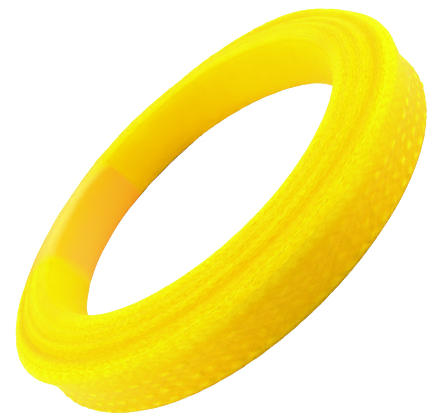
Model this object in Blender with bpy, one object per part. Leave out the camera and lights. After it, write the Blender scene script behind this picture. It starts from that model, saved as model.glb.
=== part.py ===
"""Padded juggling ring: a plastic hoop in a foam body, covered with sewn fabric panels.

The ring lies flat, its axis along +Z and its centre at the origin. Its section is a set of
(radius, height) points that run outwards over the top, down the outside, inwards along the
base and up the inner wall. Every piece is that section, or a line inside it, turned about Z.
Angles are counted in segments from the sleeve's first edge, so all pieces share one set of
facets and keep their gaps.
"""
import math

import bmesh
import bpy
from mathutils import Vector

# Overall size, in metres
OUTER_RADIUS = 0.1200
BORE_RADIUS = 0.0834
HALF_HEIGHT = 0.0200
GAP = 0.0003

# Angular layout
SEGMENTS = 44
STEP = math.tau / SEGMENTS
SLEEVE_START = math.radians(106.5)
SLEEVE_SEGMENTS = 6
HOOP_JOINT = SLEEVE_SEGMENTS / 2

# Section of the outer skin, clockwise from the top inner edge. It leans: the top and the
# underside both slope down outwards, and the ring rests on a narrow flat near its outer corner.
TOP_INNER_EDGE = (0.0891, 0.0182)
CREST = (0.0948, HALF_HEIGHT)
INNER_DIP = (0.0974, 0.0192)
INNER_RIB = (0.1002, 0.0193)
MIDDLE_DIP = (0.1030, 0.0174)
MIDDLE_RIB = (0.1058, 0.0173)
GROOVE = (0.1096, 0.0143)
OUTER_RIB = (0.1132, 0.0140)
TOP_SEAM = (0.1164, 0.0122)
LIP = (OUTER_RADIUS, 0.0092)
UNDER_LIP = (0.1176, 0.0044)
WAIST = (0.1151, -0.0044)
BULGE = (0.1168, -0.0130)
BASE_CORNER = (0.1163, -0.0182)
BASE_OUTER = (0.1145, -HALF_HEIGHT)
BASE_INNER = (0.1120, -HALF_HEIGHT)
UNDERSIDE = (0.1000, -0.0142)
BORE_CORNER = (0.0880, -0.0094)
BORE_LOWER = (BORE_RADIUS, WAIST[1])
BORE_UPPER = (0.0852, 0.0070)
STATIONS = [TOP_INNER_EDGE, CREST, INNER_DIP, INNER_RIB, MIDDLE_DIP, MIDDLE_RIB, GROOVE, OUTER_RIB,
            TOP_SEAM, LIP, UNDER_LIP, WAIST, BULGE, BASE_CORNER, BASE_OUTER, BASE_INNER, UNDERSIDE,
            BORE_CORNER, BORE_LOWER, BORE_UPPER]
SPAN_STEPS = 2

# Covers, seams and the cords that raise the ribs
COVER_THICKNESS = 0.0012
SEAM_RADIUS = 0.0005
SEAM_DEPTH = 0.0005
SEAM_HALF_SLOT = 0.0012
SEAM_SIDES = 4
SLEEVE_SEAM_WIDTH = 0.0008
SLEEVE_SEAM_DEPTH = 0.0010
END_CLEARANCE = (SLEEVE_SEAM_WIDTH / 2 + GAP) / BORE_RADIUS / STEP
COVER_START = SLEEVE_SEGMENTS + END_CLEARANCE
COVER_END = SEGMENTS - END_CLEARANCE
CORD_RADIUS = 0.0011
CORD_DEPTH = COVER_THICKNESS + GAP + CORD_RADIUS
CORD_SIDES = 5
CHANNEL_FACETS = 3
RIBS = {"inner": INNER_RIB, "middle": MIDDLE_RIB, "outer": OUTER_RIB}

# Foam halves and the hoop between them
FOAM_DEPTH = COVER_THICKNESS + GAP
SPLIT_HEIGHT = WAIST[1]
HOOP_CENTRE = (0.1035, SPLIT_HEIGHT)
HOOP_RADIUS = 0.0060
HOOP_BORE = 0.0040
HOOP_SIDES = 8
JOINER_RADIUS = HOOP_BORE - GAP
JOINER_REACH = 1.5
PIN_REACH = 0.9
PIN_RADIUS = 0.0015
PIN_CHAMFER = 0.0004
PIN_SIDES = 10

# Edges sharper than this stay crisp when the mesh is shaded smooth
CREASE_ANGLE = math.radians(35)

# Colours and roughness
YELLOW_KNIT = (0.90, 0.72, 0.005)
LEMON_RIB = (0.92, 0.78, 0.005)
AMBER_LINING = (0.88, 0.55, 0.005)
GOLD_SATIN = (0.95, 0.58, 0.03)
YELLOW_THREAD = (0.95, 0.82, 0.02)
CREAM_FOAM = (0.85, 0.80, 0.62)
WHITE_CORD = (0.82, 0.82, 0.78)
GREY_PLASTIC = (0.16, 0.16, 0.17)
BLACK_PLASTIC = (0.03, 0.03, 0.03)
PIN_PLASTIC = (0.75, 0.75, 0.75)
CLOTH_ROUGHNESS = 0.75
SATIN_ROUGHNESS = 0.4
PLASTIC_ROUGHNESS = 0.4


def clear_scene():
    for item in list(bpy.data.objects):
        bpy.data.objects.remove(item, do_unlink=True)


# ---------------------------------------------------------------- section geometry

def curve_point(before, start, end, after, t):
    """Catmull-Rom point between start and end, in one coordinate."""
    linear = end - before
    square = 2 * before - 5 * start + 4 * end - after
    cube = 3 * start - before - 3 * end + after
    return 0.5 * (2 * start + linear * t + square * t ** 2 + cube * t ** 3)


def skin_loop():
    """Closed smooth line through the stations, flat where it meets the top and base planes."""
    loop = []
    count = len(STATIONS)
    for index in range(count):
        span = [STATIONS[(index + shift) % count] for shift in (-1, 0, 1, 2)]
        for step in range(SPAN_STEPS):
            t = step / SPAN_STEPS
            radius = curve_point(*(point[0] for point in span), t)
            height = curve_point(*(point[1] for point in span), t)
            height = min(max(height, -HALF_HEIGHT), HALF_HEIGHT)
            loop.append((min(radius, OUTER_RADIUS), height))
    return loop


SKIN = skin_loop()


def inward(depth):
    """The whole skin moved towards the middle of the section. The skin runs clockwise."""
    moved = []
    for index, (radius, height) in enumerate(SKIN):
        before = SKIN[index - 1]
        after = SKIN[(index + 1) % len(SKIN)]
        along = Vector((after[0] - before[0], after[1] - before[1])).normalized()
        moved.append((radius + along.y * depth, height - along.x * depth))
    return moved


def between(loop, start, end):
    """Part of a skin loop from one station to another, both included."""
    first = STATIONS.index(start) * SPAN_STEPS
    last = STATIONS.index(end) * SPAN_STEPS
    if last <= first:
        last += len(loop)
    return [loop[index % len(loop)] for index in range(first, last + 1)]


def shortened(lines, trim):
    """Matching lines, with a length of the first one cut from both ends of all."""
    for _ in range(2):
        lines = [line[::-1] for line in lines]
        left = trim
        while left >= math.dist(lines[0][0], lines[0][1]):
            left -= math.dist(lines[0][0], lines[0][1])
            lines = [line[1:] for line in lines]
        share = left / math.dist(lines[0][0], lines[0][1])
        for line in lines:
            line[0] = tuple(a + (b - a) * share for a, b in zip(line[0], line[1]))
    return lines


def circle(centre, radius, sides):
    """Points round a circle in the section plane."""
    angles = [math.tau * index / sides for index in range(sides)]
    return [(centre[0] + radius * math.cos(a), centre[1] + radius * math.sin(a)) for a in angles]


def below(station, depth):
    """Point under a station, at a depth measured square to the skin."""
    return inward(depth)[STATIONS.index(station) * SPAN_STEPS]


# ---------------------------------------------------------------- turned solids

def direction(position):
    """Horizontal direction at a position counted in segments, on the chord between two facets."""
    lower = math.floor(position)
    ends = [Vector((math.cos(SLEEVE_START + STEP * k), math.sin(SLEEVE_START + STEP * k)))
            for k in (lower, lower + 1)]
    return ends[0].lerp(ends[1], position - lower)


def ring_positions(start, end):
    inner = range(math.floor(start) + 1, math.ceil(end))
    return [start, *inner, end]


def turn_section(name, loops, caps, start, end):
    """Turn closed section loops about Z from start to end. Caps index the joined loops' points."""
    mesh_edit = bmesh.new()
    full = math.isclose(end - start, SEGMENTS)
    positions = list(range(SEGMENTS)) if full else ring_positions(start, end)
    points = [point for loop in loops for point in loop]
    rings = []
    for position in positions:
        way = direction(position)
        rings.append([mesh_edit.verts.new((way.x * r, way.y * r, z)) for r, z in points])
    pairs = list(zip(rings, rings[1:]))
    if full:
        pairs.append((rings[-1], rings[0]))
    for near, far in pairs:
        offset = 0
        for loop in loops:
            for index in range(len(loop)):
                a = offset + index
                b = offset + (index + 1) % len(loop)
                mesh_edit.faces.new((near[a], near[b], far[b], far[a]))
            offset += len(loop)
    if not full:
        for ring in (rings[0], rings[-1]):
            for cap in caps:
                mesh_edit.faces.new([ring[index] for index in cap])
    return finish_object(name, mesh_edit)


def finish_object(name, mesh_edit):
    bmesh.ops.recalc_face_normals(mesh_edit, faces=mesh_edit.faces)
    mesh = bpy.data.meshes.new(name)
    mesh_edit.to_mesh(mesh)
    mesh_edit.free()
    mesh.shade_smooth()
    mesh.set_sharp_from_angle(angle=CREASE_ANGLE)
    made = bpy.data.objects.new(name, mesh)
    bpy.context.scene.collection.objects.link(made)
    return made


def turn_panel(name, outside, inside, start, end):
    """A sheet of cloth between two matching lines."""
    loop = outside + inside[::-1]
    last = len(loop) - 1
    caps = [(i, i + 1, last - i - 1, last - i) for i in range(len(outside) - 1)]
    return turn_section(name, [loop], caps, start, end)


def turn_tube(name, outside, inside, start, end):
    """A tube with matching outer and inner loops, open at both ends."""
    count = len(outside)
    caps = [(i, (i + 1) % count, count + (i + 1) % count, count + i) for i in range(count)]
    return turn_section(name, [outside, inside], caps, start, end)


def turn_rod(name, loop, start, end):
    return turn_section(name, [loop], [range(len(loop))], start, end)


# ---------------------------------------------------------------- materials

def material(name, colour, roughness):
    made = bpy.data.materials.new(name)
    made.use_nodes = True
    shader = made.node_tree.nodes["Principled BSDF"]
    shader.inputs["Base Color"].default_value = (*colour, 1.0)
    shader.inputs["Roughness"].default_value = roughness
    shader.inputs["Metallic"].default_value = 0.0
    made.diffuse_color = (*colour, 1.0)
    return made


def paint(item, colour, roughness):
    item.data.materials.append(material(f"{item.name}_material", colour, roughness))


# ---------------------------------------------------------------- hoop and joiner

def pin_cutter(name, position):
    """Hole through tube and joiner, square to the ring's plane."""
    mesh_edit = bmesh.new()
    bmesh.ops.create_cone(mesh_edit, cap_ends=True, segments=PIN_SIDES, radius1=PIN_RADIUS + GAP,
                          radius2=PIN_RADIUS + GAP, depth=HOOP_RADIUS * 3)
    cutter = finish_object(name, mesh_edit)
    cutter.location = pin_place(position)
    cutter.hide_render = True
    cutter.display_type = "WIRE"
    return cutter


def pin_place(position):
    way = direction(position)
    return way.x * HOOP_CENTRE[0], way.y * HOOP_CENTRE[0], HOOP_CENTRE[1]


def drill(item, cutters):
    for cutter in cutters:
        cut = item.modifiers.new(cutter.name, "BOOLEAN")
        cut.operation = "DIFFERENCE"
        cut.solver = "EXACT"
        cut.object = cutter


def build_hoop():
    half_joint = GAP / HOOP_CENTRE[0] / STEP
    outside = circle(HOOP_CENTRE, HOOP_RADIUS, HOOP_SIDES)
    inside = circle(HOOP_CENTRE, HOOP_BORE, HOOP_SIDES)
    hoop = turn_tube("core_hoop", outside, inside, HOOP_JOINT + half_joint,
                     HOOP_JOINT + SEGMENTS - half_joint)
    paint(hoop, GREY_PLASTIC, PLASTIC_ROUGHNESS)
    joiner = turn_rod("hoop_joiner", circle(HOOP_CENTRE, JOINER_RADIUS, HOOP_SIDES),
                      HOOP_JOINT - JOINER_REACH, HOOP_JOINT + JOINER_REACH)
    paint(joiner, BLACK_PLASTIC, PLASTIC_ROUGHNESS)
    sides = {"a": HOOP_JOINT - PIN_REACH, "b": HOOP_JOINT + PIN_REACH}
    cutters = [pin_cutter(f"pin_hole_{side}", position) for side, position in sides.items()]
    drill(hoop, cutters)
    drill(joiner, cutters)
    for side, position in sides.items():
        build_pin(f"joiner_pin_{side}", position)


def build_pin(name, position):
    """Plain pin, a little shorter than the tube is thick, with chamfered ends."""
    mesh_edit = bmesh.new()
    bmesh.ops.create_cone(mesh_edit, cap_ends=True, segments=PIN_SIDES, radius1=PIN_RADIUS,
                          radius2=PIN_RADIUS, depth=2 * (HOOP_RADIUS - GAP))
    rims = [edge for edge in mesh_edit.edges if abs(edge.verts[0].co.z - edge.verts[1].co.z) < GAP]
    bmesh.ops.bevel(mesh_edit, geom=rims, offset=PIN_CHAMFER, segments=1, affect="EDGES")
    pin = finish_object(name, mesh_edit)
    pin.location = pin_place(position)
    paint(pin, PIN_PLASTIC, PLASTIC_ROUGHNESS)


# ---------------------------------------------------------------- foam and cords

def hoop_channel(upper):
    """Half round channel for the hoop, from the outer side of the joint to its inner side."""
    side = 1 if upper else -1
    half = HOOP_SIDES // 2
    radius = HOOP_RADIUS + GAP
    face = SPLIT_HEIGHT + side * GAP / 2
    arc = []
    for index in range(half + 1):
        angle = side * math.pi * index / half
        height = HOOP_CENTRE[1] + radius * math.sin(angle)
        arc.append((HOOP_CENTRE[0] + radius * math.cos(angle), face if index in (0, half) else height))
    return arc


def cord_channel(centre):
    """Groove in the foam's top for a rib cord, half a polygon open towards the cover."""
    reach = (CORD_RADIUS + GAP) / math.cos(math.pi / CHANNEL_FACETS / 2)
    angles = [math.pi * (1 + index / CHANNEL_FACETS) for index in range(CHANNEL_FACETS + 1)]
    return [(centre[0] + reach * math.cos(a), centre[1] + reach * math.sin(a)) for a in angles]


def on_split(point, upper):
    """The point moved onto the glue face of one foam half."""
    side = 1 if upper else -1
    return point[0], SPLIT_HEIGHT + side * GAP / 2


def build_foam_upper():
    foam = inward(FOAM_DEPTH)
    channels = [cord_channel(below(rib, CORD_DEPTH)) for rib in RIBS.values()]
    top = [point for point in between(foam, TOP_INNER_EDGE, TOP_SEAM)
           if all(not channel[0][0] - GAP < point[0] < channel[-1][0] + GAP for channel in channels)]
    top = sorted(top + sum(channels, []), key=lambda point: point[0])
    outside = between(foam, TOP_SEAM, WAIST)[1:]
    bore = between(foam, BORE_LOWER, TOP_INNER_EDGE)[:-1]
    outside[-1] = on_split(outside[-1], True)
    bore[0] = on_split(bore[0], True)
    return turn_rod("foam_upper", top + outside + hoop_channel(True) + bore, 0, SEGMENTS)


def build_foam_lower():
    outside = between(inward(FOAM_DEPTH), WAIST, BORE_LOWER)
    outside[0] = on_split(outside[0], False)
    outside[-1] = on_split(outside[-1], False)
    return turn_rod("foam_lower", outside + hoop_channel(False)[::-1], 0, SEGMENTS)


def build_foam():
    for half in (build_foam_upper(), build_foam_lower()):
        paint(half, CREAM_FOAM, CLOTH_ROUGHNESS)


def build_cords():
    """Three cords laid in the foam's top, each with its ends butted under the sleeve."""
    for place, rib in RIBS.items():
        butt = GAP / rib[0] / STEP
        loop = circle(below(rib, CORD_DEPTH), CORD_RADIUS, CORD_SIDES)
        cord = turn_rod(f"rib_cord_{place}", loop, HOOP_JOINT + butt, HOOP_JOINT + SEGMENTS - butt)
        paint(cord, WHITE_CORD, CLOTH_ROUGHNESS)


# ---------------------------------------------------------------- covers, seams and sleeve

def build_covers():
    """Five cloth panels, each from one seam to the next and from one end of the sleeve to the other."""
    panels = {
        "top_cover": (TOP_INNER_EDGE, TOP_SEAM, LEMON_RIB),
        "lip_binding": (TOP_SEAM, WAIST, YELLOW_KNIT),
        "outer_band": (WAIST, BASE_CORNER, YELLOW_KNIT),
        "base_cover": (BASE_CORNER, BORE_CORNER, YELLOW_KNIT),
        "inner_lining": (BORE_CORNER, TOP_INNER_EDGE, AMBER_LINING),
    }
    back = inward(COVER_THICKNESS)
    for name, (start, end, colour) in panels.items():
        sheet = [between(loop, start, end) for loop in (SKIN, back)]
        outside, inside = shortened(sheet, SEAM_HALF_SLOT)
        panel = turn_panel(name, outside, inside, COVER_START, COVER_END)
        paint(panel, colour, CLOTH_ROUGHNESS)


def build_seams():
    """Piped thread lines in the slots between the panels."""
    seams = {
        "inner_top_seam": TOP_INNER_EDGE,
        "outer_top_seam": TOP_SEAM,
        "waist_seam": WAIST,
        "outer_base_seam": BASE_CORNER,
        "inner_base_seam": BORE_CORNER,
    }
    for name, station in seams.items():
        loop = circle(below(station, SEAM_DEPTH), SEAM_RADIUS, SEAM_SIDES)
        seam = turn_rod(name, loop, COVER_START, COVER_END)
        paint(seam, YELLOW_THREAD, CLOTH_ROUGHNESS)


def build_sleeve():
    """Satin sleeve round the whole section over the hoop's joint, sewn down at both ends."""
    sleeve = turn_tube("joint_sleeve", SKIN, inward(COVER_THICKNESS),
                       END_CLEARANCE, SLEEVE_SEGMENTS - END_CLEARANCE)
    paint(sleeve, GOLD_SATIN, SATIN_ROUGHNESS)
    half_width = SLEEVE_SEAM_WIDTH / 2 / OUTER_RADIUS / STEP
    for side, middle in (("a", 0), ("b", SLEEVE_SEGMENTS)):
        seam = turn_tube(f"sleeve_seam_{side}", SKIN, inward(SLEEVE_SEAM_DEPTH),
                         middle - half_width, middle + half_width)
        paint(seam, YELLOW_THREAD, CLOTH_ROUGHNESS)


clear_scene()
build_hoop()
build_foam()
build_cords()
build_covers()
build_seams()
build_sleeve()
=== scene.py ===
"""Looks of the padded juggling ring.

The five panels of its stuffed cloth cover, the satin sleeve over the joint and the seams are laid on the
section of the CAD model. What lies inside the cover keeps its CAD shape and gets a material.
"""
import math

import bmesh
import bpy
import numpy as np
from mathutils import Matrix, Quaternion, Vector


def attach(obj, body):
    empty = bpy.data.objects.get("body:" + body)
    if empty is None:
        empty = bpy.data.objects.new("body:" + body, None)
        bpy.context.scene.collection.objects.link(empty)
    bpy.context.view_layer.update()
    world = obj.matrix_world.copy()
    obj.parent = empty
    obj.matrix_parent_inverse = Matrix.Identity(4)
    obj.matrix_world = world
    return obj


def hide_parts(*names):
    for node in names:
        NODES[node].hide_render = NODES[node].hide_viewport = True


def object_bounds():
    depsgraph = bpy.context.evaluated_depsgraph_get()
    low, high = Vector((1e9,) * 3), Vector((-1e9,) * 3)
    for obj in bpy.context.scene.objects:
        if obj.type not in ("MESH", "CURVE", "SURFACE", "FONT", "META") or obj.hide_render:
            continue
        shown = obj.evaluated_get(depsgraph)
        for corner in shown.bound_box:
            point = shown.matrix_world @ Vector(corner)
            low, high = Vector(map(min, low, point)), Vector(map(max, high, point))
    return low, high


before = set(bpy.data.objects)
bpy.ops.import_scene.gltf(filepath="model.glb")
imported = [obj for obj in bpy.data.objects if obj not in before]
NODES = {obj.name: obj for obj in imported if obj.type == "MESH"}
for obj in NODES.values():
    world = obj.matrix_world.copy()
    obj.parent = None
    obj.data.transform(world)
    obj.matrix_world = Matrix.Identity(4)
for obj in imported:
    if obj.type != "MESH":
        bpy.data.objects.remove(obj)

CAD_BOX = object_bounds()
MM = 0.001
TURN = math.tau

# Skin outline: how it is read from the CAD sleeve, and how its relief is told from its section.
WELD = 1e-6
PLANE_TOLERANCE = 1e-3
OUTLINE_SAMPLES = 1600
OUTLINE_STEPS = 24
SMOOTH_REACH = 2.6 * MM
FULL_RELIEF = 0.45 * MM

# Cover panels. The mesh of each is its spacing across the section and its number of points round the ring.
CLOTH = 1.2 * MM
EDGE_GAP = 0.06 * MM
PANEL_END_GAP = 0.12 * MM
PANEL_MESH = {"top_cover": (0.42 * MM, 820), "lip_binding": (0.5 * MM, 1200), "outer_band": (0.5 * MM, 1200),
              "base_cover": (1.1 * MM, 600), "inner_lining": (1.3 * MM, 480)}
INNER_SPACING = 3.0 * MM
FEWEST_ROWS = 4
DEEPEST = 1.0 * MM
PROUDEST = 3.8 * MM
LEAST_DOWN = 0.02
SHARP_ANGLE = math.radians(60)

# Sleeve: its mesh, its hem at the first end, how it lies over the ribs and ends flush, and its puckers.
SLEEVE_ROWS = 126
SLEEVE_COLUMNS = 90
SLEEVE_INNER_STEP = 3
SLEEVE_END_GAP = 0.08 * MM
HEM_LENGTH = 5.0 * MM
HEM_HEIGHT = 0.15 * MM
FIT_DEPTH = 0.2 * MM
FLUSH_LENGTH = 10.0 * MM
FLUSH_HEM_LENGTH = 14.0 * MM
BRIDGED_UP = 0.4 * MM
BRIDGED_DOWN = 0.25 * MM
PUCKERS = 34
PUCKER_HEIGHT = 0.06 * MM
PUCKER_LENGTH = 4.0 * MM
SLACK = 0.06 * MM

# Cloth simulation of the whole skin.
SIM_ROWS = 60
SIM_COLUMNS = 360
SIM_FRAMES = 20
SIM_INSET = 0.5 * MM
SIM_PRESSURE = 4.0
SIM_CAP = 2.5 * MM
SIM_EASE = 0.004
SIM_WOBBLE = 0.15
SIM_CLOTH = {"quality": 4, "mass": 0.15, "air_damping": 1.0, "tension_stiffness": 15,
             "compression_stiffness": 15, "shear_stiffness": 5, "bending_stiffness": 0.2}
UNEVEN_GAIN = 0.5
UNEVEN_FADE = 14.0 * MM

# Braid on the outer wall: strands cross in cells this wide round the ring and this high.
BRAID_CELLS = 82
BRAID_HEIGHT = 5.8 * MM
BRAID_RELIEF = 0.17 * MM
BRAID_WANDER = 0.10
UNDER_SHARE = 0.45
STRAND_SHARE = 0.94
STRAND_FALL = 1.1
STRAND_POWER = 2.5

# Fine ridges of yarn that run round the top, broken into streaks.
STREAK_PITCH = 1.75 * MM
STREAK_RELIEF = 0.12 * MM
GRAIN_RELIEF = 0.10 * MM

# Raised stitches in rows on the outer wall: the place of each row along the section, and a stitch's size.
STITCH_ROWS = (43.4 * MM, 49.4 * MM, 55.2 * MM, 61.0 * MM)
STITCH_LONG = 2.5 * MM
STITCH_WIDE = 0.95 * MM
STITCH_RELIEF = 0.30 * MM

# The hollow under the lip, bridged more on the front of the ring than at its ends.
BRIDGE_FROM = 32.0 * MM
BRIDGE_TO = 59.0 * MM
BRIDGE_LEFT = 0.35
BRIDGE_RIGHT = 0.0
BRIDGE_FRONT = 1.0
LIP_EASE = 1.05 * MM
LIP_REACH = 3.2 * MM
SHOULDER = 1.2 * MM
SHOULDER_BELOW = 7.0 * MM
SHOULDER_REACH = 6.0 * MM
RIB_EASE_ENDS = 0.20
RIB_EASE_FRONT = 0.55

# Painted light and shade on the cloth as tones, 0 for the deep, shaded colour and 1 for the bright, lit one,
# with the pale
# highlight colour above: its own tone, and how much each feature adds. Most features are painted highlights
# or painted shade; the streaks, grains and mottling are the cloth's own.
TOP_LIGHT_AND_TONE = {"base": 0.42, "rim": 0.50, "edge": 0.55, "back": 0.30, "relief": 0.14, "streaks": 0.34,
            "grains": 0.22}
WALL_LIGHT_AND_TONE = {"base": 0.30, "upper": 0.50, "lip": 0.95, "foot": 0.90, "braid": 0.12, "stitches": 1.15,
             "grains": 0.30}
# At the ring's right end: painted shade on the lower wall and brighter painted highlights on its stitches.
WALL_RIGHT_LIGHT_AND_SHADE = {"base": -0.22, "stitches": 0.65}
LINING_SHADE_AND_TONE = {"base": 0.65, "mottle": 0.15, "middle": -0.65}
SLEEVE_LIGHT_AND_TONE = {"first": 0.55, "last": 0.10, "upright": 0.85, "top": 0.50}

# Painted shade in the outer groove: its place, how far it wanders outwards on the right, its width, and how
# strongly the line and the shelf beyond it are darkened.
S_GROOVE = 22.0 * MM
GROOVE_DRIFT = 1.6 * MM
GROOVE_WIDTH = 1.5 * MM
GROOVE_LINE = 0.34
GROOVE_SHELF = 0.22
GROOVE_FADE = 0.9

# Painted highlights in pale arcs at the ring's left end: the place and the tone of each.
LEFT_ARC_HIGHLIGHTS = ((9.6 * MM, 0.45), (17.5 * MM, 0.22), (27.6 * MM, 0.50))
LEFT_ARC_HIGHLIGHT_WIDTH = 1.6 * MM

# Short slanting yarns in the cloth's finish: their slant, and their number in a millimetre along and across.
SPECK_SLANT = math.radians(24)
SPECK_SCALE = (0.42, 1.25, 1.0)

# Glints on the cloth.
SPECULAR = 0.03
SPECULAR_TINT = (1.0, 0.85, 0.0, 1)

# Uneven stuffing: place along the section, angle in degrees, reach along, reach in degrees, swell.
STUFFING = (
    (1 * MM, -125, 6 * MM, 36, 1.1 * MM),
    (101 * MM, 40, 9 * MM, 36, 1.9 * MM),
    (31 * MM, -162, 6 * MM, 15, 2.9 * MM),
    (1 * MM, -160, 6 * MM, 16, 0.9 * MM),
    (0 * MM, 174, 8 * MM, 10, -0.7 * MM),
    (1 * MM, -30, 6 * MM, 18, -0.5 * MM),
    (30 * MM, -179, 7 * MM, 9, 0.9 * MM),
    (100 * MM, 170, 8 * MM, 12, -0.9 * MM),
    (58 * MM, -168, 7 * MM, 14, 1.0 * MM),
    (29 * MM, 32, 6 * MM, 16, 2.8 * MM),
    (29 * MM, 56, 6 * MM, 16, 1.4 * MM),
    (41 * MM, -9, 7 * MM, 14, -0.9 * MM),
    (34 * MM, 2, 9 * MM, 13, -1.3 * MM),
    (30 * MM, 134, 14 * MM, 28, -1.1 * MM),
    (57 * MM, -40, 8 * MM, 36, 0.9 * MM),
)

# Seams: the cloth drawn in at each, the dents beside the inner one, and the threads.
PINCH_DEPTH = {"inner_top_seam": 0.12 * MM, "outer_top_seam": 0.05 * MM, "waist_seam": 0.04 * MM,
               "outer_base_seam": 0.18 * MM, "inner_base_seam": 0.08 * MM}
PINCH_WIDTH = 0.9 * MM
PINCH_RIPPLE = 0.3
THREAD_DEPTH = {"inner_top_seam": -0.38 * MM, "outer_top_seam": -0.20 * MM, "waist_seam": -0.34 * MM,
                "outer_base_seam": -0.38 * MM, "inner_base_seam": -0.28 * MM}
STITCH_COUNT = 64
DIMPLE_OFFSET = 4.2 * MM
DIMPLE_DEPTH = 0.35 * MM
DIMPLE_WIDTH = 1.2 * MM
THREAD_RISE = 0.14 * MM
THREAD_RADIUS = 0.34 * MM
THREAD_TWIST = 4.0 * MM
THREAD_SIDES = 8
THREAD_STEP = 0.7 * MM
THREAD_WAIST = 0.62
THREAD_PLIES = 0.38
NEARLY_UPRIGHT = 0.2
THREAD_END_GAP = 0.8 * MM
SLEEVE_THREAD_DEPTH = -0.20 * MM
SLEEVE_THREAD_RISE = 0.04 * MM

# Camera, from the ring's centre.
ELEVATION = math.radians(24.58)
ROLL = math.radians(44.18)
DISTANCE = 0.6483
LENS = 108.9
AIM = Vector((-0.0007, -0.0032, -0.0070))

# Soft square lights: name, place, side and power. The rest of the studio gives a faint even light.
LIGHTS = (
    ("top_light", (0.1, 0.1, 1.2), 0.9, 16.2),
    ("left_light", (-1.2, -0.2, 0.4), 0.7, 15.8),
    ("right_light", (1.2, -0.2, 0.4), 0.7, 14.8),
    ("back_light", (0.0, 1.2, 0.7), 0.7, 2.6),
)
STUDIO_LIGHT = 0.17
FLOOR_HALF = 3.0
FLOOR_DROP = 0.2 * MM

# The background's brightness to the camera, and the camera's answer to red light.
BACKGROUND = 1.8
RED_CURVE = ((0.35, 0.36), (0.62, 0.64), (0.82, 0.81), (1.0, 0.885), (1.25, 0.91), (1.5, 0.935))


# ---------------------------------------------------------------- outline of the skin
def walk_loops(ring, link):
    """Every closed chain of the ring's points, each starting at its lowest index."""
    loops = []
    seen = set()
    for start in sorted(ring):
        if start in seen:
            continue
        chain = [start]
        seen.add(start)
        while True:
            following = [k for k in link[chain[-1]] if k not in seen]
            if not following:
                break
            chain.append(min(following))
            seen.add(chain[-1])
        loops.append(chain)
    return loops


def outline_of(name):
    """The named node's outer outline in the plane through its middle, as (radius, height) points in order."""
    bm = bmesh.new()
    bm.from_mesh(NODES[name].data)
    bmesh.ops.remove_doubles(bm, verts=bm.verts, dist=WELD)
    bm.verts.index_update()
    co = np.array([v.co for v in bm.verts])
    angle = np.arctan2(co[:, 1], co[:, 0])
    middle = (angle.min() + angle.max()) / 2
    ring = {int(k) for k in np.nonzero(np.abs(angle - middle) < PLANE_TOLERANCE)[0]}
    link = {k: [] for k in ring}
    for e in bm.edges:
        a, b = e.verts[0].index, e.verts[1].index
        if a in ring and b in ring:
            link[a].append(b)
            link[b].append(a)
    loops = [np.column_stack([np.hypot(co[c, 0], co[c, 1]), co[c, 2]]) for c in walk_loops(ring, link)]
    bm.free()
    return max(loops, key=lambda p: np.hypot(*np.diff(p, axis=0).T).sum())


def node_centre(name):
    """The (radius, height) of the middle of a node turned round the axis."""
    co = np.array([v.co for v in NODES[name].data.vertices])
    return np.array([np.hypot(co[:, 0], co[:, 1]).mean(), co[:, 2].mean()])


def node_angle(name):
    """The angle round the ring at which the middle of a node lies."""
    co = np.array([v.co for v in NODES[name].data.vertices])
    angle = np.arctan2(co[:, 1], co[:, 0])
    return (angle.min() + angle.max()) / 2


def catmull_rom(p0, p1, p2, p3, f):
    """The curve's value at the fraction f of the way from p1 to p2."""
    return p1 + 0.5 * f * (p2 - p0 + f * (2 * p0 - 5 * p1 + 4 * p2 - p3 + f * (3 * (p1 - p2) + p3 - p0)))


def smooth_loop(points, steps):
    """A closed smooth curve through the points."""
    f = np.arange(steps)[:, None] / steps
    rows = []
    for k in range(len(points)):
        p0, p1, p2, p3 = (points[(k + j) % len(points)] for j in (-1, 0, 1, 2))
        rows.append(catmull_rom(p0, p1, p2, p3, f))
    return np.vstack(rows)


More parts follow.
